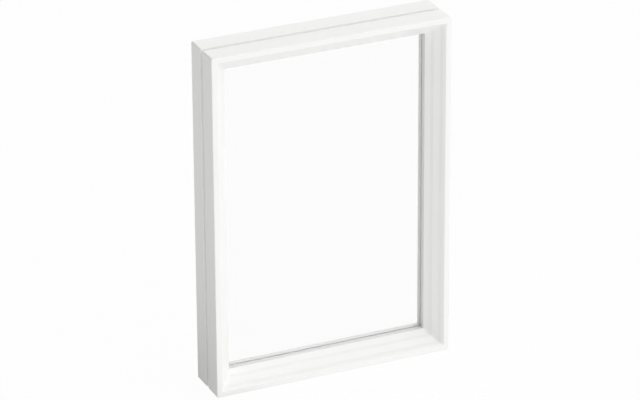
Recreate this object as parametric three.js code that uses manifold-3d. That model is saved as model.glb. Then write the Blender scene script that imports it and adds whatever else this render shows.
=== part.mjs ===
import * as THREE from "three";
import { mergeVertices } from "three/addons/utils/BufferGeometryUtils.js";
import Module from "manifold-3d";

// Tabletop photo frame seen from both sides. Two identical moulded halves push together on
// corner pegs, back to back, and hold two clear panes with a print between them.
// Millimetres, +Z up, +Y from the front to the back. The origin is the middle of the base.

// Driving dimensions
const OPENING_WIDTH = 98;
const OPENING_HEIGHT = 148;
const MOULDING = 9.4; // outer side to the visible opening
const DEPTH = 23; // front face to back face, both halves together
const FACE = 2.6; // flat front border, before the reveal slopes inward
const EDGE_BEVEL = 0.4; // broken edge between the front face and the outer side
const LIP = 2.9; // thickness of the lip that the pane rests on
const REBATE = 2.5; // how far the lip overlaps the pane's pocket
const REBATE_WALL = 1.4; // rim between the pane's pocket and the hollow rail
const OUTER_WALL = 1.6; // outer side, behind the groove
const SLOPE_WALL = 1.8; // thickness of the sloping reveal
const GROOVE_WIDTH = 2.2; // finger groove round the parting line, both halves together
const GROOVE_DEPTH = 1;
const PANE_THICKNESS = 0.5;
const PANE_CLEARANCE = 0.3; // on each side of a pane in its pocket
const BANDS = [1.4, 3.3, 2.9]; // three flat bands down the reveal, front to lip, as parts of it
const STEP_RUN = 1.55; // length of the small step between two bands
const STEP_FALL = 0.21; // how far a step drops below the slope that it runs down
const PEG_RADIUS = 1;
const PEG_CLEARANCE = 0.3;
const PEG_LENGTH = 4.5; // past the parting line
const PEG_ROOT = 1; // length that is one with the corner block
const PEG_LEAD = 0.5; // taper at the tip
const SOCKET_END_GAP = 0.5;
const RIB = 1.2;
const RIB_PITCH = 36; // widest bay between two ribs, rib included
const ROUND_SEGMENTS = 24;
const CUT_PAST = 1; // how far a cutting shape runs past the face that it opens

// Worked-out sizes
const WIDTH = OPENING_WIDTH + 2 * MOULDING;
const HEIGHT = OPENING_HEIGHT + 2 * MOULDING;
const HALF_DEPTH = DEPTH / 2;
const PANE_SEAT = HALF_DEPTH - PANE_THICKNESS;
const LIP_EDGE = PANE_SEAT - LIP;
const POCKET_INSET = MOULDING - REBATE;
const HOLLOW_OUTER = GROOVE_DEPTH + OUTER_WALL;
const HOLLOW_INNER = POCKET_INSET - REBATE_WALL;
const PEG_INSET = (HOLLOW_OUTER + HOLLOW_INNER) / 2;
const SOCKET_RADIUS = PEG_RADIUS + PEG_CLEARANCE;
const SOCKET_DEPTH = PEG_LENGTH + SOCKET_END_GAP;
const CORNER_BLOCK = PEG_INSET + SOCKET_RADIUS + OUTER_WALL;

const wasm = await Module();
wasm.setup();

// Section points are (inset, depth): inset from the outer side, depth from the front face.

/** Unit vector down the reveal, from the front face to the lip. */
function slopeDirection() {
  return new THREE.Vector2(MOULDING - FACE, LIP_EDGE).normalize();
}

/** Points of the reveal: each band climbs a little off the mean slope, each step drops back. */
function revealPoints() {
  const along = slopeDirection();
  const out = new THREE.Vector2(along.y, -along.x);
  const steps = BANDS.length - 1;
  const run = Math.hypot(MOULDING - FACE, LIP_EDGE) - steps * STEP_RUN;
  const parts = BANDS.reduce((sum, part) => sum + part, 0);
  const legs = [];
  for (const part of BANDS) {
    legs.push({ travel: (part / parts) * run, lift: (part / parts) * steps * STEP_FALL });
    legs.push({ travel: STEP_RUN, lift: -STEP_FALL });
  }
  legs.pop();
  const point = new THREE.Vector2(FACE, 0);
  return legs.map((leg) => {
    point.addScaledVector(along, leg.travel).addScaledVector(out, leg.lift);
    return point.clone();
  });
}

/** Closed section of one half, without its hollows. */
function halfSection() {
  const grooveStart = HALF_DEPTH - GROOVE_WIDTH / 2;
  return [
    new THREE.Vector2(EDGE_BEVEL, 0),
    new THREE.Vector2(FACE, 0),
    ...revealPoints(),
    new THREE.Vector2(MOULDING, PANE_SEAT),
    new THREE.Vector2(POCKET_INSET, PANE_SEAT),
    new THREE.Vector2(POCKET_INSET, HALF_DEPTH),
    new THREE.Vector2(GROOVE_DEPTH, HALF_DEPTH),
    new THREE.Vector2(GROOVE_DEPTH, grooveStart),
    new THREE.Vector2(0, grooveStart),
    new THREE.Vector2(0, EDGE_BEVEL),
  ];
}

/** Four rails with mitred corners: each section point runs round the frame as a rectangle. */
function mitredRing(section) {
  const positions = [];
  for (const point of section) {
    const x = WIDTH / 2 - point.x;
    const y = point.y - HALF_DEPTH;
    positions.push(-x, y, point.x, x, y, point.x);
    positions.push(x, y, HEIGHT - point.x, -x, y, HEIGHT - point.x);
  }
  const indices = [];
  for (let i = 0; i < section.length; i++) {
    const next = (i + 1) % section.length;
    for (let corner = 0; corner < 4; corner++) {
      const turn = (corner + 1) % 4;
      const [a, b] = [4 * i + corner, 4 * i + turn];
      const [c, d] = [4 * next + turn, 4 * next + corner];
      indices.push(a, b, c, a, c, d);
    }
  }
  const ring = new THREE.BufferGeometry();
  ring.setAttribute("position", new THREE.Float32BufferAttribute(positions, 3));
  ring.setIndex(indices);
  return ring;
}

/** Outline of a hollow: walls of even thickness behind the side, the reveal and the pocket. */
function hollowShape() {
  const along = slopeDirection();
  const behind = new THREE.Vector2(FACE, 0);
  behind.addScaledVector(new THREE.Vector2(-along.y, along.x), SLOPE_WALL);
  const depthAt = (inset) => behind.y + ((inset - behind.x) * along.y) / along.x;
  const mouth = HALF_DEPTH + CUT_PAST;
  return new THREE.Shape([
    new THREE.Vector2(HOLLOW_OUTER, depthAt(HOLLOW_OUTER)),
    new THREE.Vector2(HOLLOW_INNER, depthAt(HOLLOW_INNER)),
    new THREE.Vector2(HOLLOW_INNER, mouth),
    new THREE.Vector2(HOLLOW_OUTER, mouth),
  ]);
}

/** Middle of each rail's outer edge on the front plane, its inward direction and its length. */
function rails() {
  const middle = HEIGHT / 2;
  return [
    { at: [0, -HALF_DEPTH, 0], inward: [0, 0, 1], length: WIDTH },
    { at: [WIDTH / 2, -HALF_DEPTH, middle], inward: [-1, 0, 0], length: HEIGHT },
    { at: [0, -HALF_DEPTH, HEIGHT], inward: [0, 0, -1], length: WIDTH },
    { at: [-WIDTH / 2, -HALF_DEPTH, middle], inward: [1, 0, 0], length: HEIGHT },
  ];
}

/** Hollows of one rail, open at the parting line, with a rib left between each two. */
function railHollows(rail) {
  const run = rail.length - 2 * CORNER_BLOCK;
  const bays = Math.max(1, Math.ceil((run + RIB) / RIB_PITCH));
  const bay = (run - (bays - 1) * RIB) / bays;
  const inward = new THREE.Vector3(...rail.inward);
  const backward = new THREE.Vector3(0, 1, 0);
  const lengthwise = new THREE.Vector3().crossVectors(inward, backward);
  const place = new THREE.Matrix4().makeBasis(inward, backward, lengthwise);
  place.setPosition(...rail.at);
  const hollows = [];
  for (let i = 0; i < bays; i++) {
    const hollow = new THREE.ExtrudeGeometry(hollowShape(), { depth: bay, bevelEnabled: false });
    hollow.translate(0, 0, i * (bay + RIB) - run / 2);
    hollows.push(hollow.applyMatrix4(place));
  }
  return hollows;
}

/** Heights of the pegs' and sockets' centres, near the base and near the top. */
function pegHeights() {
  return [PEG_INSET, HEIGHT - PEG_INSET];
}

/** Round peg that stands up from the parting line, with a tapered tip. */
function peg(z) {
  const outline = [
    new THREE.Vector2(0, -PEG_ROOT),
    new THREE.Vector2(PEG_RADIUS, -PEG_ROOT),
    new THREE.Vector2(PEG_RADIUS, PEG_LENGTH - PEG_LEAD),
    new THREE.Vector2(PEG_RADIUS - PEG_LEAD / 2, PEG_LENGTH),
    new THREE.Vector2(0, PEG_LENGTH),
  ];
  const turned = new THREE.LatheGeometry(outline, ROUND_SEGMENTS);
  return turned.translate(PEG_INSET - WIDTH / 2, 0, z);
}

/** Blind hole for the other half's peg. */
function socket(z) {
  const length = SOCKET_DEPTH + CUT_PAST;
  const hole = new THREE.CylinderGeometry(SOCKET_RADIUS, SOCKET_RADIUS, length, ROUND_SEGMENTS);
  return hole.translate(WIDTH / 2 - PEG_INSET, CUT_PAST - length / 2, z);
}

/** Closed geometry as a solid for joining and cutting. */
function toSolid(geometry) {
  const bare = geometry.clone();
  bare.deleteAttribute("normal");
  bare.deleteAttribute("uv");
  const merged = mergeVertices(bare);
  const vertProperties = new Float32Array(merged.attributes.position.array);
  const triVerts = new Uint32Array(merged.index.array);
  return new wasm.Manifold(new wasm.Mesh({ numProp: 3, vertProperties, triVerts }));
}

/** Solid as a geometry with flat faces. */
function toGeometry(solid) {
  const mesh = solid.getMesh();
  const geometry = new THREE.BufferGeometry();
  geometry.setAttribute("position", new THREE.BufferAttribute(mesh.vertProperties, 3));
  geometry.setIndex(new THREE.BufferAttribute(mesh.triVerts, 1));
  geometry.computeVertexNormals();
  return geometry;
}

/** One half in the front place. Turned half round about +Z, its pegs meet its twin's sockets. */
function halfGeometry() {
  let solid = toSolid(mitredRing(halfSection()));
  for (const rail of rails()) {
    for (const hollow of railHollows(rail)) {
      solid = solid.subtract(toSolid(hollow));
    }
  }
  for (const z of pegHeights()) {
    solid = solid.add(toSolid(peg(z)));
    solid = solid.subtract(toSolid(socket(z)));
  }
  return toGeometry(solid);
}

/** One moulded half, turned half round for the back. */
function frameHalf(name, turn) {
  const plastic = new THREE.MeshStandardMaterial({ color: 0xf3f3f2, roughness: 0.38, metalness: 0 });
  const half = new THREE.Mesh(halfGeometry(), plastic);
  half.name = name;
  half.rotation.z = turn;
  return half;
}

/** One clear pane between its half's lip and the parting line. side is -1 front, 1 back. */
function pane(name, side) {
  const spare = 2 * (REBATE - PANE_CLEARANCE);
  const size = [OPENING_WIDTH + spare, PANE_THICKNESS, OPENING_HEIGHT + spare];
  const clear = new THREE.MeshStandardMaterial({ color: 0xf7fafa, roughness: 0.05, metalness: 0 });
  clear.transparent = true;
  clear.opacity = 0.2;
  const sheet = new THREE.Mesh(new THREE.BoxGeometry(...size), clear);
  sheet.name = name;
  sheet.position.set(0, (side * PANE_THICKNESS) / 2, HEIGHT / 2);
  return sheet;
}

const photoFrame = new THREE.Group();
photoFrame.add(frameHalf("front_frame", 0));
photoFrame.add(frameHalf("rear_frame", Math.PI));
photoFrame.add(pane("front_pane", -1));
photoFrame.add(pane("rear_pane", 1));

export default photoFrame;
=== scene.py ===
"""Looks of the tabletop photo frame: two moulded white halves with two clear panes between them.

Class fields and section points are in millimetres, and meshes are made in metres. A section
point is (inset, depth): inset from the frame's outer side, depth from the front face. The four
corners of a rectangle go round from the lower left as seen from the front, and the arc of each
starts in the direction CORNER_START and turns a quarter.
"""

from __future__ import annotations

import logging
from dataclasses import dataclass, field, replace
from enum import Enum
from typing import Any

import bpy
import numpy as np
from mathutils import Matrix, Vector


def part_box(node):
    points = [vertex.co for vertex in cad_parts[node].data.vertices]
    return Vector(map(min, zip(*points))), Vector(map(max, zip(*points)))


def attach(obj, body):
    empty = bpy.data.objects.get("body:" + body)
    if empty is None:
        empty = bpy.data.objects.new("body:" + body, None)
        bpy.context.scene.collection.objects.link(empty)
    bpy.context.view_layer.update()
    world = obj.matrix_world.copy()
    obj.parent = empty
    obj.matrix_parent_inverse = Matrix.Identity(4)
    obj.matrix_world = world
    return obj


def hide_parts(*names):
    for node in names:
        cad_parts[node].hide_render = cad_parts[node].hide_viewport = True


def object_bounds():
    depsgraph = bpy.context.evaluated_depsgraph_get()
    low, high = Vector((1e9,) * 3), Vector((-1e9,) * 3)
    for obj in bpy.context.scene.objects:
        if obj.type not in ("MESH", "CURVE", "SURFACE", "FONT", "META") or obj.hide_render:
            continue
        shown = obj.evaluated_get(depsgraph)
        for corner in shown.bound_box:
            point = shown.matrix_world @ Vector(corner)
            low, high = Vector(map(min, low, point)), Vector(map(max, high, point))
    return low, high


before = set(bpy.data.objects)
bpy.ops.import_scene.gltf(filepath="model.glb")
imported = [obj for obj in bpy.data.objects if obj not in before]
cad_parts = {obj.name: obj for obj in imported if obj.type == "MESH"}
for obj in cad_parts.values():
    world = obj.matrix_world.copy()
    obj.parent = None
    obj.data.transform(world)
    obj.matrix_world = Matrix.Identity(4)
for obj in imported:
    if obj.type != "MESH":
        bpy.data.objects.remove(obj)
CAD_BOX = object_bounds()

MM = 0.001
# marks the lips' edges, which the plastic greys with painted shade
PAINTED_SHADE_ATTRIBUTE = "lip_edge"  # mesh attribute that marks the lips' edges
ARC_POINTS = 6  # points on each rounding of a section
CORNER_X = np.array([-1, 1, 1, -1])
CORNER_Z = np.array([-1, -1, 1, 1])
CORNER_START = np.pi + np.arange(4) * np.pi / 2
LOG = logging.getLogger("photo_frame")


def srgb(code: str) -> tuple[float, float, float, float]:
    """Turns an sRGB hex colour to the linear colour that a shader takes, by the sRGB curve.

    Args:
        code: colour such as "#f0f0ee".

    Returns:
        Linear red, green, blue and an alpha of 1.
    """
    channels = np.array([int(code[i : i + 2], 16) for i in (1, 3, 5)]) / 255
    linear = np.where(channels <= 0.04045, channels / 12.92, ((channels + 0.055) / 1.055) ** 2.4)
    return (*(float(value) for value in linear), 1.0)


def add_node(
    tree: bpy.types.NodeTree, kind: str, settings: dict[str, Any], inputs: dict[Any, Any]
) -> bpy.types.Node:
    """Adds one node with its settings, and sets or links its inputs.

    Args:
        tree: node tree that takes the node.
        kind: Blender's type name of the node.
        settings: attributes of the node, by name.
        inputs: value or output socket for each input, by name or number.

    Returns:
        The new node.
    """
    node = tree.nodes.new(kind)
    for name, value in settings.items():
        setattr(node, name, value)
    for key, value in inputs.items():
        if isinstance(value, bpy.types.NodeSocket):
            tree.links.new(value, node.inputs[key])
        else:
            node.inputs[key].default_value = value
    return node


def new_material(name: str) -> tuple[bpy.types.Material, bpy.types.NodeTree]:
    """Makes a material with an empty node tree.

    Args:
        name: the material's name.

    Returns:
        The material and its node tree.
    """
    material = bpy.data.materials.new(name)
    material.use_nodes = True
    material.node_tree.nodes.clear()
    return material, material.node_tree


def seen_directly(tree: bpy.types.NodeTree) -> bpy.types.NodeSocket:
    """Adds the test for rays from the camera, a mirror image or a view through a pane.

    Args:
        tree: node tree that takes the test.

    Returns:
        A socket that is 1 for those rays and 0 for light on the object.
    """
    rays = add_node(tree, "ShaderNodeLightPath", {}, {}).outputs
    larger = {"operation": "MAXIMUM"}
    pair = {0: rays["Is Camera Ray"], 1: rays["Is Glossy Ray"]}
    mirrored = add_node(tree, "ShaderNodeMath", larger, pair).outputs["Value"]
    pair = {0: mirrored, 1: rays["Is Transmission Ray"]}
    return add_node(tree, "ShaderNodeMath", larger, pair).outputs["Value"]


def direction(azimuth: float, elevation: float) -> Vector:
    """Finds the way from the frame to a lamp or a camera.

    With a the azimuth and e the elevation, it is (sin a cos e, -cos a cos e, sin e).

    Args:
        azimuth: degrees round the frame, 0 in front and 90 right of it.
        elevation: degrees above the floor.

    Returns:
        The direction, of length 1.
    """
    a, e = np.radians([azimuth, elevation])
    return Vector((np.sin(a) * np.cos(e), -np.cos(a) * np.cos(e), np.sin(e)))


@dataclass(frozen=True)
class MouldedPolystyrene:
    """White high-impact polystyrene from a satin mould: an even, slightly milky white.

    To the eye it is a soft satin, with highlights that spread a little, a faint drift in tone
    where the melt flowed, and a fine grain from the spark-eroded mould. The lips' thin edges, in
    the recess by the panes, are greyed with painted shade.
    """

    white: str = "#f3f3f2"
    flow_white: str = "#efefed"
    # painted shade: the grey given to the lips' edges in the recess by the panes
    painted_shade_white: str = "#e2e2e1"
    ior: float = 1.59
    satin: tuple[float, float] = (0.36, 0.46)
    flow_mm: float = 38.0
    grain_mm: float = 0.55  # the real grain is near 0.05 mm, drawn coarser so that it shows
    grain_height_mm: float = 0.006
    sink_mm: float = 14.0
    sink_height_mm: float = 0.03

    def material(self) -> bpy.types.Material:
        """Builds the shader.

        Returns:
            The finished material.
        """
        material, tree = new_material("moulded_polystyrene_white")
        place = add_node(tree, "ShaderNodeTexCoord", {}, {}).outputs["Object"]
        # Each pattern has the size of its lumps and the number of its finer octaves. A colour
        # mix takes its colours at inputs 6 and 7 and gives the result at output 2.
        patterns = ((self.flow_mm, 3.0), (self.grain_mm, 2.0), (self.sink_mm, 1.0))
        flow, grain, sink = (
            add_node(
                tree,
                "ShaderNodeTexNoise",
                {},
                {"Vector": place, "Scale": 1 / (size * MM), "Detail": octaves},
            ).outputs["Fac"]
            for size, octaves in patterns
        )
        body = add_node(
            tree,
            "ShaderNodeMix",
            {"data_type": "RGBA"},
            {0: flow, 6: srgb(self.white), 7: srgb(self.flow_white)},
        )
        # painted shade: the lips' edges are mixed towards the grey of painted shade
        edge = add_node(tree, "ShaderNodeAttribute", {"attribute_name": PAINTED_SHADE_ATTRIBUTE}, {})
        colour = add_node(
            tree,
            "ShaderNodeMix",
            {"data_type": "RGBA"},
            {0: edge.outputs["Fac"], 6: body.outputs[2], 7: srgb(self.painted_shade_white)},
        )
        satin = add_node(
            tree,
            "ShaderNodeMapRange",
            {},
            {"Value": grain, "To Min": self.satin[0], "To Max": self.satin[1]},
        )
        waves = add_node(
            tree,
            "ShaderNodeBump",
            {},
            {"Strength": 1.0, "Distance": self.sink_height_mm * MM, "Height": sink},
        )
        skin = add_node(
            tree,
            "ShaderNodeBump",
            {},
            {
                "Strength": 1.0,
                "Distance": self.grain_height_mm * MM,
                "Height": grain,
                "Normal": waves.outputs["Normal"],
            },
        )
        plastic = add_node(
            tree,
            "ShaderNodeBsdfPrincipled",
            {},
            {
                "Base Color": colour.outputs[2],
                "Roughness": satin.outputs["Result"],
                "IOR": self.ior,
                "Normal": skin.outputs["Normal"],
            },
        )
        add_node(tree, "ShaderNodeOutputMaterial", {}, {"Surface": plastic.outputs["BSDF"]})
        return material


@dataclass(frozen=True)
class ClearStyrene:
    """Clear polystyrene sheet: water-clear, with soft wiping haze in its gloss.

    Light from the lamps passes straight through, so that the reveal behind a pane stays lit.
    """

    tint: str = "#fefefe"
    passing: str = "#f9f9f9"  # each face of a sheet turns a twentieth of the light back
    ior: float = 1.59
    gloss: tuple[float, float] = (0.008, 0.03)
    haze_mm: float = 22.0

    def material(self) -> bpy.types.Material:
        """Builds the shader.

        Returns:
            The finished material.
        """
        material, tree = new_material("clear_polystyrene_sheet")
        place = add_node(tree, "ShaderNodeTexCoord", {}, {}).outputs["Object"]
        haze = add_node(
            tree,
            "ShaderNodeTexNoise",
            {},
            {"Vector": place, "Scale": 1 / (self.haze_mm * MM), "Detail": 4.0},
        )
        gloss = add_node(
            tree,
            "ShaderNodeMapRange",
            {},
            {"Value": haze.outputs["Fac"], "To Min": self.gloss[0], "To Max": self.gloss[1]},
        )
        sheet = add_node(
            tree,
            "ShaderNodeBsdfPrincipled",
            {},
            {
                "Base Color": srgb(self.tint),
                "Roughness": gloss.outputs["Result"],
                "IOR": self.ior,
                "Transmission Weight": 1.0,
            },
        )
        clear = add_node(tree, "ShaderNodeBsdfTransparent", {}, {"Color": srgb(self.passing)})
        rays = add_node(tree, "ShaderNodeLightPath", {}, {})
        shown = add_node(
            tree,
            "ShaderNodeMixShader",
            {},
            {0: rays.outputs["Is Shadow Ray"], 1: sheet.outputs["BSDF"], 2: clear.outputs["BSDF"]},
        )
        add_node(tree, "ShaderNodeOutputMaterial", {}, {"Surface": shown.outputs["Shader"]})
        return material


@dataclass(frozen=True)
class SeamlessPaper:
    """White paper on a light table, under and round the frame, with a faint tooth and shadow.

    Light off the paper fades softly round the place shade_at, left of the frame and a little
    behind it, so that the foot of the frame's left side is a shade darker.
    """

    white: str = "#fafafa"
    glow: float = 0.95
    bounce: float = 0.95
    shade: float = 0.62
    shade_at: tuple[float, float] = (-80.0, 30.0)
    shade_reach: float = 90.0
    tooth_mm: float = 1.5
    tooth_height_mm: float = 0.02

    def material(self) -> bpy.types.Material:
        """Builds the shader.

        Returns:
            The finished material. The light from below makes the share glow of its white where
            a camera, a mirror or a pane shows it, and the share bounce where it lights the frame.
        """
        material, tree = new_material("studio_paper_white")
        place = add_node(tree, "ShaderNodeTexCoord", {}, {}).outputs["Object"]
        tooth = add_node(
            tree,
            "ShaderNodeTexNoise",
            {},
            {"Vector": place, "Scale": 1 / (self.tooth_mm * MM), "Detail": 2.0},
        ).outputs["Fac"]
        relief = add_node(
            tree,
            "ShaderNodeBump",
            {},
            {"Strength": 1.0, "Distance": self.tooth_height_mm * MM, "Height": tooth},
        )
        skin = {"Color": srgb(self.white), "Normal": relief.outputs["Normal"]}
        matt = add_node(tree, "ShaderNodeBsdfDiffuse", {}, skin)
        light = {"Color": srgb("#ffffff"), "Strength": self.strength(tree, place)}
        own = add_node(tree, "ShaderNodeEmission", {}, light)
        share = add_node(
            tree,
            "ShaderNodeMapRange",
            {},
            {"Value": seen_directly(tree), "To Min": self.bounce, "To Max": self.glow},
        )
        shown = add_node(
            tree,
            "ShaderNodeMixShader",
            {},
            {0: share.outputs["Result"], 1: matt.outputs["BSDF"], 2: own.outputs["Emission"]},
        )
        add_node(tree, "ShaderNodeOutputMaterial", {}, {"Surface": shown.outputs["Shader"]})
        return material

    def strength(
        self, tree: bpy.types.NodeTree, place: bpy.types.NodeSocket
    ) -> bpy.types.NodeSocket:
        """Adds the strength of the light from below, with the soft shade beside the frame.

        Args:
            tree: node tree that takes the nodes.
            place: coordinates on the paper, in metres.

        Returns:
            A socket that is 1 where the paper is seen directly. Where it lights the frame, it
            goes from 1 less the shade at the shade's middle smoothly to 1 at its reach.
        """
        middle = (self.shade_at[0] * MM, self.shade_at[1] * MM, 0.0)
        pair = {0: place, 1: middle}
        away = add_node(tree, "ShaderNodeVectorMath", {"operation": "DISTANCE"}, pair)
        lighting = add_node(
            tree,
            "ShaderNodeMapRange",
            {"interpolation_type": "SMOOTHSTEP"},
            {
                "Value": away.outputs["Value"],
                "From Max": self.shade_reach * MM,
                "To Min": 1 - self.shade,
                "To Max": 1.0,
            },
        )
        level = add_node(
            tree,
            "ShaderNodeMapRange",
            {},
            {"Value": seen_directly(tree), "To Min": lighting.outputs["Result"], "To Max": 1.0},
        )
        return level.outputs["Result"]


@dataclass
class Surface:
    """Points in millimetres with four-sided and three-sided faces between them.

    The points on a lip's edge, which the plastic greys with painted shade, are marked by a 1 in
    the mask of painted shade at the lip, where a surface has it.
    """

    points: np.ndarray
    quads: np.ndarray
    triangles: np.ndarray
    painted_lip_shade: np.ndarray | None = None

    @classmethod
    def skinned(cls, rings: np.ndarray, wrapped: bool) -> Surface:
        """Joins closed rings of points into a closed surface.

        Point j of ring i makes a face with its neighbours at i + 1 and j + 1. Where the rings
        don't wrap, the first and the last are closed by a fan round their mean point.

        Args:
            rings: array of (ring, point, 3).
            wrapped: whether the last ring joins the first.

        Returns:
            The surface, with its faces outwards.
        """
        count, around = rings.shape[:2]
        index = np.arange(count * around).reshape(count, around)
        if wrapped:
            index = np.vstack([index, index[:1]])
        beside = np.roll(index, -1, axis=1)
        quads = np.stack([index[:-1], beside[:-1], beside[1:], index[1:]], axis=-1).reshape(-1, 4)
        points = rings.reshape(-1, 3)
        triangles = np.empty((0, 3), int)
        if not wrapped:
            first = np.full(around, count * around)
            last = first + 1
            points = np.vstack([points, rings[0].mean(axis=0), rings[-1].mean(axis=0)])
            near = np.stack([beside[0], index[0], first], axis=-1)
            far = np.stack([index[-1], beside[-1], last], axis=-1)
            triangles = np.vstack([near, far])
        return cls(points, quads, triangles).outward()

    @classmethod
    def joined(cls, parts: list[Surface]) -> Surface:
        """Puts several surfaces into one, point after point.

        Args:
            parts: the surfaces, whose masks of painted shade at the lip are left out.

        Returns:
            One surface of all their faces.
        """
        starts = np.cumsum([0] + [len(part.points) for part in parts])
        return cls(
            np.vstack([part.points for part in parts]),
            np.vstack([part.quads + start for part, start in zip(parts, starts)]),
            np.vstack([part.triangles + start for part, start in zip(parts, starts)]),
        )

    def outward(self) -> Surface:
        """Turns the faces round if they enclose a negative volume.

        The volume is a sixth of the sum of each triangle's corners' triple products.

        Returns:
            The surface, with its faces outwards.
        """
        split = np.vstack([self.quads[:, [0, 1, 2]], self.quads[:, [0, 2, 3]], self.triangles])
        a, b, c = (self.points[split[:, k]] for k in range(3))
        if np.einsum("ij,ij->i", a, np.cross(b, c)).sum() < 0:
            return replace(self, quads=self.quads[:, ::-1], triangles=self.triangles[:, ::-1])
        return self

    def half_turned(self) -> Surface:
        """Turns the surface half round about the upright axis: x and y change sign."""
        return replace(self, points=self.points * (-1, -1, 1))

    def piece(self, name: str, material: bpy.types.Material) -> bpy.types.Object:
        """Makes the Blender object, smooth-shaded and in metres.

        Args:
            name: the object's name.
            material: its only material.

        Returns:
            The new object, at the origin.
        """
        mesh = bpy.data.meshes.new(name)
        faces = self.quads.tolist() + self.triangles.tolist()
        mesh.from_pydata((self.points * MM).tolist(), [], faces)
        mesh.polygons.foreach_set("use_smooth", np.ones(len(faces), bool))
        # the mask of painted shade on the lips' edges
        if self.painted_lip_shade is not None:
            mesh.attributes.new(PAINTED_SHADE_ATTRIBUTE, "FLOAT", "POINT").data.foreach_set("value", self.painted_lip_shade)
        mesh.materials.append(material)
        mesh.update()
        thing = bpy.data.objects.new(name, mesh)
        bpy.context.scene.collection.objects.link(thing)
        return thing


@dataclass(frozen=True)
class Corner:
    """One corner of an outline: its place and the radius of its rounding."""

    inset: float
    depth: float
    radius: float


def unit(vectors: np.ndarray) -> np.ndarray:
    """Brings vectors to length 1, each in its own direction."""
    return vectors / np.linalg.norm(vectors, axis=-1, keepdims=True)


def rounded(corners: np.ndarray, radii: np.ndarray, guard: float) -> np.ndarray:
    """Rounds the corners of a closed outline by tangent arcs, each between two guard points.

    With a and b the directions to the corners before and after, and h half the angle between
    them, an arc of radius r starts r / tan h from the corner and has its centre r / sin h away
    on the bisector. Its points come from turning the first spoke towards the last. The guard
    points stand on the straight lines just outside the arc, so that these are shaded flat.

    Args:
        corners: array of (corner, 2), in order.
        radii: the arcs' radii.
        guard: distance of the guard points from the arcs' ends.

    Returns:
        Array of (corner, point, 2).
    """
    a = unit(np.roll(corners, 1, axis=0) - corners)
    b = unit(np.roll(corners, -1, axis=0) - corners)
    half = np.arccos(np.clip((a * b).sum(axis=1), -1, 1)) / 2
    reach = (radii / np.tan(half))[:, None]
    centre = corners + unit(a + b) * (radii / np.sin(half))[:, None]
    first = corners + a * reach - centre
    last = corners + b * reach - centre
    sweep = (np.pi - 2 * half)[:, None, None]
    share = np.linspace(0, 1, ARC_POINTS)[None, :, None]
    spokes = np.sin((1 - share) * sweep) * first[:, None] + np.sin(share * sweep) * last[:, None]
    arcs = centre[:, None] + spokes / np.sin(sweep)
    enter = arcs[:, :1] + a[:, None] * guard
    leave = arcs[:, -1:] + b[:, None] * guard
    return np.concatenate([enter, arcs, leave], axis=1)


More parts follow.
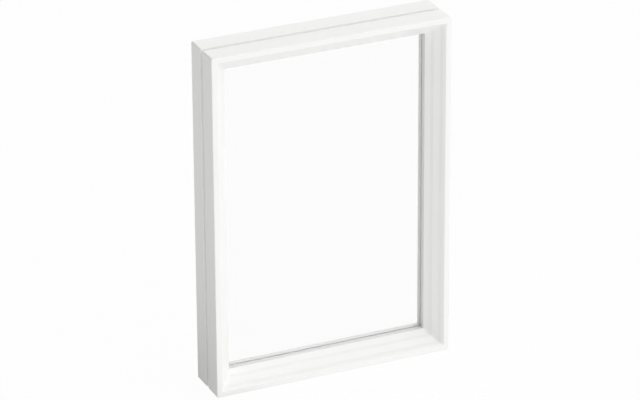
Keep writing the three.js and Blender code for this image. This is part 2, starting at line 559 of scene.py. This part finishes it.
@dataclass(frozen=True)
class HalfSection:
    """Section of one moulded half: front border, stepped reveal, lip, pane pocket and hollow."""

    width: float
    height: float
    half_depth: float
    pane_thickness: float
    moulding: float = 9.4
    face: float = 2.6
    lip: float = 2.9
    rebate: float = 2.5
    rebate_wall: float = 1.4
    outer_wall: float = 1.6
    slope_wall: float = 1.8
    groove_width: float = 2.2
    groove_depth: float = 1.0
    bands: tuple[float, ...] = (1.4, 3.3, 2.9)
    step_run: float = 1.55
    step_fall: float = 0.21
    edge_radius: float = 0.4
    border_radius: float = 0.25
    crest_radius: float = 0.7
    valley_radius: float = 0.7
    lip_radius: float = 0.25
    groove_radius: float = 0.25
    rim_radius: float = 0.12
    root_radius: float = 0.45
    outer_corner: float = 0.8
    inner_corner: float = 0.35
    corner_points: int = 7
    guard: float = 0.05
    side_guard: float = 0.4

    @property
    def seat(self) -> float:
        """Depth of the pane's seat behind the lip."""
        return self.half_depth - self.pane_thickness

    @property
    def lip_edge(self) -> float:
        """Depth of the lip's front edge, at the end of the reveal."""
        return self.seat - self.lip

    @property
    def hollow_outer(self) -> float:
        """Inset of the hollow's outer wall."""
        return self.groove_depth + self.outer_wall

    @property
    def hollow_inner(self) -> float:
        """Inset of the hollow's inner wall, behind the pane's pocket."""
        return self.moulding - self.rebate - self.rebate_wall

    def slope(self) -> tuple[np.ndarray, float]:
        """Finds the direction and the length of the reveal, from the front border to the lip."""
        run = np.array([self.moulding - self.face, self.lip_edge])
        return run / np.linalg.norm(run), float(np.linalg.norm(run))

    def floor(self, inset: float | np.ndarray) -> float | np.ndarray:
        """Finds the depth of the hollow's floor, which lies slope_wall behind the reveal.

        Args:
            inset: insets of places on the floor.

        Returns:
            The depth at each inset.
        """
        along, _ = self.slope()
        start = np.array([self.face, 0]) + np.array([-along[1], along[0]]) * self.slope_wall
        return start[1] + (inset - start[0]) * along[1] / along[0]

    def reveal(self) -> np.ndarray:
        """Finds the corners down the reveal, between its front edge and its edge at the lip.

        The bands share the slope's length less the steps' runs, in their given parts. Each band
        climbs off the slope in proportion to its length, and each step drops back, so that the
        reveal ends on the slope again.

        Returns:
            Array of (corner, 2): crest, valley, crest, valley.
        """
        along, length = self.slope()
        out = np.array([along[1], -along[0]])
        steps = len(self.bands) - 1
        share = np.array(self.bands)[:, None] / sum(self.bands)
        bands = share * (length - steps * self.step_run, steps * self.step_fall)
        drops = np.tile((self.step_run, -self.step_fall), (len(bands), 1))
        legs = np.stack([bands, drops], axis=1).reshape(-1, 2)[:-2]
        travel, lift = legs.cumsum(axis=0).T
        return np.array([self.face, 0]) + np.outer(travel, along) + np.outer(lift, out)

    def outline(self) -> np.ndarray:
        """Draws the closed outline of the section, with all its roundings.

        Returns:
            Array of (point, 2), from the outer front edge over the reveal and the back.
        """
        groove_start = self.half_depth - self.groove_width / 2
        pocket = self.moulding - self.rebate
        reveal = self.reveal()
        bends = np.resize((self.crest_radius, self.valley_radius), len(reveal))
        corners = [
            Corner(0, 0, self.edge_radius),
            Corner(self.face, 0, self.border_radius),
            *(Corner(*place, bend) for place, bend in zip(reveal, bends)),
            Corner(self.moulding, self.lip_edge, self.lip_radius),
            Corner(self.moulding, self.seat, self.rim_radius),
            Corner(pocket, self.seat, self.rim_radius),
            Corner(pocket, self.half_depth, self.rim_radius),
            Corner(self.hollow_inner, self.half_depth, self.rim_radius),
            Corner(self.hollow_inner, self.floor(self.hollow_inner), self.root_radius),
            Corner(self.hollow_outer, self.floor(self.hollow_outer), self.root_radius),
            Corner(self.hollow_outer, self.half_depth, self.rim_radius),
            Corner(self.groove_depth, self.half_depth, self.rim_radius),
            Corner(self.groove_depth, groove_start, self.rim_radius),
            Corner(0, groove_start, self.groove_radius),
        ]
        places = np.array([(corner.inset, corner.depth) for corner in corners])
        radii = np.array([corner.radius for corner in corners])
        return rounded(places, radii, self.guard).reshape(-1, 2)

    def swept(self) -> Surface:
        """Carries the outline round the frame's rectangle, with softly rounded corners.

        At inset u each outline point runs round a rectangle of half sides W/2 - u and H/2 - u
        whose corner radius falls from outer_corner at the outside to inner_corner at the lip.
        A corner point lies at the arc's centre plus the radius times (cos t, sin t), and guard
        points stand side_guard along the straight sides, so that the rails stay flat.

        Returns:
            The closed ring, in the front half's place.
        """
        outline = self.outline()
        inset = outline[:, 0, None, None]
        fall = (self.outer_corner - self.inner_corner) / self.moulding
        radius = self.outer_corner - fall * inset
        quarter = np.linspace(0, np.pi / 2, self.corner_points)
        turn = np.concatenate([quarter[:1], quarter, quarter[-1:]])
        slide = np.zeros_like(turn)
        slide[0] = -self.side_guard
        slide[-1] = self.side_guard
        angle = CORNER_START[:, None] + turn
        across = CORNER_X[:, None] * (self.width / 2 - inset - radius) + radius * np.cos(angle)
        upward = CORNER_Z[:, None] * (self.height / 2 - inset - radius) + radius * np.sin(angle)
        x = across - slide * np.sin(angle)
        z = self.height / 2 + upward + slide * np.cos(angle)
        y = np.broadcast_to(outline[:, 1, None, None] - self.half_depth, x.shape)
        rings = np.stack([x, y, z], axis=-1).reshape(len(outline), -1, 3)
        # mask of the lips' edges, which the plastic greys as painted shade
        painted_lip_shade = (outline[:, 0] > self.moulding - self.guard / 2).astype(float)
        shell = Surface.skinned(rings, wrapped=True)
        return replace(shell, painted_lip_shade=np.repeat(painted_lip_shade, rings.shape[1]))


class Side(Enum):
    """Which half of the frame a piece belongs to."""

    FRONT = "front"
    REAR = "rear"


class Fitting(Enum):
    """What a corner block carries towards the other half."""

    PEG = "peg"
    SOCKET = "socket"


def dress_pieces(pieces: list[bpy.types.Object], node: str) -> None:
    """Rides pieces on the body of a CAD node, in its place, and hides the node.

    Args:
        pieces: Blender objects of one body.
        node: name of the CAD node that they replace.
    """
    for piece in pieces:
        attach(piece, node)
        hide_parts(node)


@dataclass
class FrameHalf:
    """One moulded half: its shell, the ribs in its hollow and its four corner blocks."""

    side: Side
    section: HalfSection
    plastic: bpy.types.Material
    peg_radius: float = 1.0
    peg_length: float = 4.5
    peg_lead: float = 0.5
    peg_clearance: float = 0.3
    socket_depth: float = 5.0
    mouth_lead: float = 0.2
    root_fillet: float = 0.15
    rib: float = 1.2
    rib_pitch: float = 36.0
    rib_edge: float = 0.2
    rib_edge_points: int = 5
    bury: float = 0.06
    round_points: int = 48
    pieces: list[bpy.types.Object] = field(default_factory=list)

    @property
    def peg_inset(self) -> float:
        """Inset of the pegs and sockets, in the middle of the hollow."""
        return (self.section.hollow_outer + self.section.hollow_inner) / 2

    @property
    def socket_radius(self) -> float:
        """Radius of a socket, a clearance wider than the peg."""
        return self.peg_radius + self.peg_clearance

    @property
    def corner_block(self) -> float:
        """Inset where the corner block ends and the hollow starts."""
        return self.peg_inset + self.socket_radius + self.section.outer_wall

    def in_place(self, surface: Surface) -> Surface:
        """Leaves a surface of the front half as it is, or turns it half round for the rear."""
        return surface if self.side is Side.FRONT else surface.half_turned()

    def rib_surface(self, middle: float, rail: int) -> Surface:
        """Makes one rib across the hollow, with rounded top edges.

        Its profile over the thickness is an upright bar whose top corners are quarter circles.
        The bar runs across the hollow, a little into both walls, and down past the floor.

        Args:
            middle: place of the rib along its rail, from the rail's middle.
            rail: 0 bottom, 1 right, 2 top, 3 left, seen from the front.

        Returns:
            The closed rib, in the front half's place.
        """
        section = self.section
        quarter = np.linspace(0, np.pi / 2, self.rib_edge_points)
        centre = (self.rib / 2 - self.rib_edge, section.half_depth - self.rib_edge)
        spokes = np.column_stack([np.cos(quarter), np.sin(quarter)])
        right = centre + self.rib_edge * spokes
        left = right[::-1] * (-1, 1)
        crown = np.vstack([right, left])
        insets = np.array([section.hollow_outer - self.bury, section.hollow_inner + self.bury])
        below = section.floor(insets) - self.bury
        rings = []
        for inset, depth in zip(insets, below):
            foot = np.array([[-self.rib / 2, depth], [self.rib / 2, depth]])
            profile = np.vstack([crown, foot])
            rings.append(np.column_stack([np.full(len(profile), inset), profile]))
        local = np.array(rings)
        return Surface.skinned(self.on_rail(local, middle, rail), wrapped=False)

    def on_rail(self, local: np.ndarray, middle: float, rail: int) -> np.ndarray:
        """Takes points on a rail to the front half's place.

        Args:
            local: array of (inset, along, depth), with depth from the front face.
            middle: place on the rail that along counts from, from the rail's middle.
            rail: 0 bottom, 1 right, 2 top, 3 left, seen from the front.

        Returns:
            Array of (x, y, z), of the same shape.
        """
        width, height = self.section.width, self.section.height
        inset = local[..., 0]
        along = local[..., 1] + middle
        y = local[..., 2] - self.section.half_depth
        upright = height / 2 + along
        places = (
            (along, inset),
            (width / 2 - inset, upright),
            (along, height - inset),
            (inset - width / 2, upright),
        )
        x, z = places[rail]
        return np.stack([x, y, z], axis=-1)

    def rib_places(self, length: float) -> np.ndarray:
        """Spreads a rail's ribs so that its bays are even and no wider than the pitch.

        Args:
            length: the rail's outer length.

        Returns:
            Places of the ribs from the rail's middle.
        """
        run = length - 2 * self.corner_block
        bays = max(1, int(np.ceil((run + self.rib) / self.rib_pitch)))
        bay = (run - (bays - 1) * self.rib) / bays
        return np.arange(1, bays) * (bay + self.rib) - self.rib / 2 - run / 2

    @property
    def block_reach(self) -> tuple[float, float, float]:
        """How far the corner block goes from the peg's axis: outward, inward and along a rail."""
        low = self.peg_inset - self.section.hollow_outer + self.bury
        short = self.section.hollow_inner - self.peg_inset + self.bury
        return low, short, self.corner_block - self.peg_inset

    def block_outline(self, angle: np.ndarray) -> np.ndarray:
        """Finds the distance from the peg's axis to the corner block's side, in each direction.

        The block is an L: two bars that share the corner. A ray leaves a bar at the nearer of
        its two sides, and leaves the L where it leaves the longer-reaching bar.

        Args:
            angle: directions of the rays.

        Returns:
            The distances, in millimetres.
        """
        low, short, long = self.block_reach
        with np.errstate(divide="ignore"):
            over_cos = 1 / np.abs(np.cos(angle))
            over_sin = 1 / np.abs(np.sin(angle))
        exits = []
        for reach_x, reach_y in ((long, short), (short, long)):
            across = np.where(np.cos(angle) > 0, reach_x, low) * over_cos
            upward = np.where(np.sin(angle) > 0, reach_y, low) * over_sin
            exits.append(np.minimum(across, upward))
        return np.maximum(*exits)

    def block_surface(self, fitting: Fitting, side_x: int, side_z: int) -> Surface:
        """Makes one corner block with its peg or its socket, as rings round the peg's axis.

        Args:
            fitting: whether a peg stands on the block or a socket goes into it.
            side_x: -1 for a corner on the left, 1 on the right.
            side_z: -1 for a corner at the base, 1 at the top.

        Returns:
            The closed block, in the front half's place.
        """
        section = self.section
        low, short, long = self.block_reach
        across = (long, short, short, -low, -low, long)
        upward = (short, short, long, long, -low, -low)
        even = np.linspace(-np.pi, np.pi, self.round_points, endpoint=False)
        angle = np.unique(np.concatenate([even, np.arctan2(upward, across)]))
        rings = self.fitting_rings(fitting, angle)
        outline = self.block_outline(angle)
        spokes = np.stack([np.cos(angle), np.sin(angle)], axis=-1)
        side = self.peg_inset + spokes * outline[:, None]
        foot = section.floor(side.min(axis=1)) - self.bury
        top = np.full(len(angle), section.half_depth)
        for depth in (top, foot):
            rings.append(np.column_stack([side, depth]))
        local = np.array(rings)
        x = side_x * (section.width / 2 - local[..., 0])
        z = section.height / 2 + side_z * (section.height / 2 - local[..., 1])
        y = local[..., 2] - section.half_depth
        return Surface.skinned(np.stack([x, y, z], axis=-1), wrapped=False)

    def fitting_rings(self, fitting: Fitting, angle: np.ndarray) -> list[np.ndarray]:
        """Draws the rings of a peg from its tip down, or of a socket from its floor up.

        Args:
            fitting: peg or socket.
            angle: directions of the ring's points from the axis.

        Returns:
            Arrays of (inset across, inset upward, depth).
        """
        plane = self.section.half_depth
        radius = self.peg_radius
        if fitting is Fitting.PEG:
            profile = [
                (radius - self.peg_lead / 2 - self.bury, plane + self.peg_length),
                (radius - self.peg_lead / 2, plane + self.peg_length - self.bury),
                (radius, plane + self.peg_length - self.peg_lead),
                (radius, plane + self.root_fillet + self.bury),
                (radius, plane + self.root_fillet),
                (radius + self.root_fillet, plane),
            ]
        else:
            radius = self.socket_radius
            profile = [
                (radius - self.bury, plane - self.socket_depth),
                (radius, plane - self.socket_depth + self.bury),
                (radius, plane - self.mouth_lead),
                (radius + self.mouth_lead / 2, plane),
            ]
        rings = []
        for reach, depth in profile:
            across = self.peg_inset + reach * np.cos(angle)
            upward = self.peg_inset + reach * np.sin(angle)
            rings.append(np.column_stack([across, upward, np.full(len(angle), depth)]))
        return rings

    def build(self) -> None:
        """Makes the half's three pieces and puts them in place of its node."""
        name = self.side.value
        section = self.section
        rails = (section.width, section.height, section.width, section.height)
        ribs = [
            self.rib_surface(float(middle), rail)
            for rail, length in enumerate(rails)
            for middle in self.rib_places(length)
        ]
        corners = ((-1, Fitting.PEG), (1, Fitting.SOCKET))
        blocks = [
            self.block_surface(fitting, side_x, side_z)
            for side_x, fitting in corners
            for side_z in (-1, 1)
        ]
        surfaces = {
            f"{name}_shell": section.swept(),
            f"{name}_ribs": Surface.joined(ribs),
            f"{name}_corner_blocks": Surface.joined(blocks),
        }
        for title, surface in surfaces.items():
            self.pieces.append(self.in_place(surface).piece(title, self.plastic))

    def dress(self) -> None:
        """Rides the pieces on the half's body and hides its CAD node."""
        dress_pieces(self.pieces, f"{self.side.value}_frame")


@dataclass
class ClearPane:
    """One clear sheet between its half's lip and the parting line, with eased edges."""

    side: Side
    styrene: bpy.types.Material
    edge: float = 0.12
    edge_points: int = 4
    cap_inset: float = 0.24
    corner: float = 0.6
    corner_points: int = 8
    print_gap: float = 0.05
    seat_gap: float = 0.03
    pieces: list[bpy.types.Object] = field(default_factory=list)

    def build(self) -> None:
        """Makes the sheet as rounded rectangles stacked through its thickness.

        Each rectangle is drawn in from the sheet's outline by the depth of a quarter circle of
        radius edge, so that all edges are eased. The first and the last, at cap_inset, keep the
        broad faces flat.
        """
        low, high = (np.array(corner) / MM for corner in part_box(f"{self.side.value}_pane"))
        start, end = self.faces(low[1], high[1])
        quarter = np.linspace(0, np.pi / 2, self.edge_points)
        ease = self.edge * (1 - np.sin(quarter))
        drop = self.edge * (1 - np.cos(quarter))
        inward = np.concatenate([[self.cap_inset], ease, ease[::-1], [self.cap_inset]])[:, None]
        depth = np.concatenate([[start], start + drop, end - drop[::-1], [end]])
        half_x = (high[0] - low[0]) / 2
        half_z = (high[2] - low[2]) / 2
        turn = np.linspace(0, np.pi / 2, self.corner_points)
        angle = (CORNER_START[:, None] + turn).ravel()
        side_x = np.repeat(CORNER_X, self.corner_points)
        side_z = np.repeat(CORNER_Z, self.corner_points)
        radius = self.corner - inward / 2
        x = side_x * (half_x - inward - radius) + radius * np.cos(angle)
        z = side_z * (half_z - inward - radius) + radius * np.sin(angle)
        y = np.broadcast_to(depth[:, None], x.shape)
        centre = np.array([(low[0] + high[0]) / 2, 0, (low[2] + high[2]) / 2])
        rings = np.stack([x, y, z], axis=-1) + centre
        sheet = Surface.skinned(rings, wrapped=False)
        self.pieces.append(sheet.piece(f"{self.side.value}_sheet", self.styrene))

    def faces(self, low: float, high: float) -> tuple[float, float]:
        """Draws the sheet's faces in by half the gap for a print and a hair's breadth at the seat.

        Args:
            low: where the CAD pane starts, in y.
            high: where it ends.

        Returns:
            Where the sheet starts and ends.
        """
        if self.side is Side.FRONT:
            return low + self.seat_gap, high - self.print_gap / 2
        return low + self.print_gap / 2, high - self.seat_gap

    def dress(self) -> None:
        """Rides the sheet on its own body and hides its CAD node."""
        dress_pieces(self.pieces, f"{self.side.value}_pane")


@dataclass(frozen=True)
class Softbox:
    """A big soft lamp, so far away that it lights the whole frame evenly."""

    name: str
    azimuth: float
    elevation: float
    spread: float
    level: float

    def hang(self) -> None:
        """Adds the lamp, as a sun that fills a disc of the given spread in the sky.

        A sun of strength pi lights a white face square to it so that it renders as white, so
        the strength is pi times the level.
        """
        away = direction(self.azimuth, self.elevation)
        lamp = bpy.data.lights.new(self.name, "SUN")
        lamp.energy = self.level * np.pi
        lamp.angle = np.radians(self.spread)
        thing = bpy.data.objects.new(self.name, lamp)
        thing.matrix_world = away.to_track_quat("Z", "Y").to_matrix().to_4x4()
        bpy.context.scene.collection.objects.link(thing)


@dataclass(frozen=True)
class Studio:
    """White paper floor, even sky and soft lamps, at a plain level."""

    paper: SeamlessPaper = SeamlessPaper()
    floor_side: float = 12000.0
    sky: float = 0.135
    lamps: tuple[Softbox, ...] = (
        Softbox("overhead_softbox", azimuth=0.0, elevation=85.0, spread=80.0, level=0.32),
        Softbox("front_softbox", azimuth=0.0, elevation=8.0, spread=80.0, level=0.345),
        Softbox("right_softbox", azimuth=45.0, elevation=15.0, spread=80.0, level=0.45),
        Softbox("rear_softbox", azimuth=150.0, elevation=30.0, spread=60.0, level=0.27),
    )

    def build(self) -> None:
        """Adds the floor, the sky and the lamps."""
        half = self.floor_side / 2
        corners = np.array([(-half, -half, 0), (half, -half, 0), (half, half, 0), (-half, half, 0)])
        sheet = Surface(corners, np.array([[0, 1, 2, 3]]), np.empty((0, 3), int))
        sheet.piece("paper_floor", self.paper.material())
        self.light_sky()
        for lamp in self.lamps:
            lamp.hang()
        bpy.context.scene.view_settings.view_transform = "Standard"

    def light_sky(self) -> None:
        """Gives the world one white, seen at full strength but lighting at the sky's level."""
        world = bpy.data.worlds.new("studio_sky")
        world.use_nodes = True
        tree = world.node_tree
        tree.nodes.clear()
        level = add_node(
            tree,
            "ShaderNodeMapRange",
            {},
            {"Value": seen_directly(tree), "To Min": self.sky, "To Max": 1.0},
        )
        white = {"Color": srgb("#ffffff"), "Strength": level.outputs["Result"]}
        glow = add_node(tree, "ShaderNodeBackground", {}, white)
        add_node(tree, "ShaderNodeOutputWorld", {}, {"Surface": glow.outputs["Background"]})
        bpy.context.scene.world = world


@dataclass(frozen=True)
class PhotoCamera:
    """Camera at the photograph's viewing angle, in degrees, pixels and millimetres."""

    azimuth: float = -24.14
    elevation: float = 24.73
    roll: float = -0.332
    focal_pixels: float = 3994.0
    picture_pixels: float = 640.0
    distance: float = 1810.0
    aim_right: float = -1.45
    aim_up: float = -0.314
    sensor: float = 36.0
    far_clip: float = 100000.0

    def place(self, target: Vector) -> None:
        """Adds the camera and makes it the scene's.

        Args:
            target: the middle of the frame, in metres.
        """
        back = direction(self.azimuth, self.elevation)
        roll = np.radians(self.roll)
        level = Vector((0, 0, 1)).cross(back).normalized()
        upright = back.cross(level)
        right = level * np.cos(roll) + upright * np.sin(roll)
        up = upright * np.cos(roll) - level * np.sin(roll)
        lens = bpy.data.cameras.new("photo_camera")
        lens.sensor_width = self.sensor
        lens.lens = self.sensor * self.focal_pixels / self.picture_pixels
        lens.clip_end = self.far_clip * MM
        away = back * self.distance * MM
        aside = right * self.aim_right * MM
        raised = up * self.aim_up * MM
        eye = target + away + aside + raised
        thing = bpy.data.objects.new("photo_camera", lens)
        turn = Matrix((right, up, back)).transposed().to_4x4()
        thing.matrix_world = Matrix.Translation(eye) @ turn
        bpy.context.scene.collection.objects.link(thing)
        bpy.context.scene.camera = thing


def frame_section() -> HalfSection:
    """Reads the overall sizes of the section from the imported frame.

    Returns:
        The section of either half.
    """
    low, high = (np.array(corner) / MM for corner in CAD_BOX)
    pane_low, pane_high = (np.array(corner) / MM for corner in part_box("front_pane"))
    return HalfSection(
        width=float(high[0] - low[0]),
        height=float(high[2] - low[2]),
        half_depth=float(high[1] - low[1]) / 2,
        pane_thickness=float(pane_high[1] - pane_low[1]),
    )


def main() -> None:
    """Builds the studio and the frame, and reports each piece."""
    logging.basicConfig(level=logging.INFO, format="%(message)s")
    middle = (Vector(CAD_BOX[0]) + Vector(CAD_BOX[1])) / 2
    PhotoCamera().place(middle)
    Studio().build()
    plastic = MouldedPolystyrene().material()
    styrene = ClearStyrene().material()
    section = frame_section()
    for side in Side:
        for part in (FrameHalf(side, section, plastic), ClearPane(side, styrene)):
            part.build()
            part.dress()
            for piece in part.pieces:
                LOG.info("%s: %d faces", piece.name, len(piece.data.polygons))


if __name__ == "__main__":
    main()
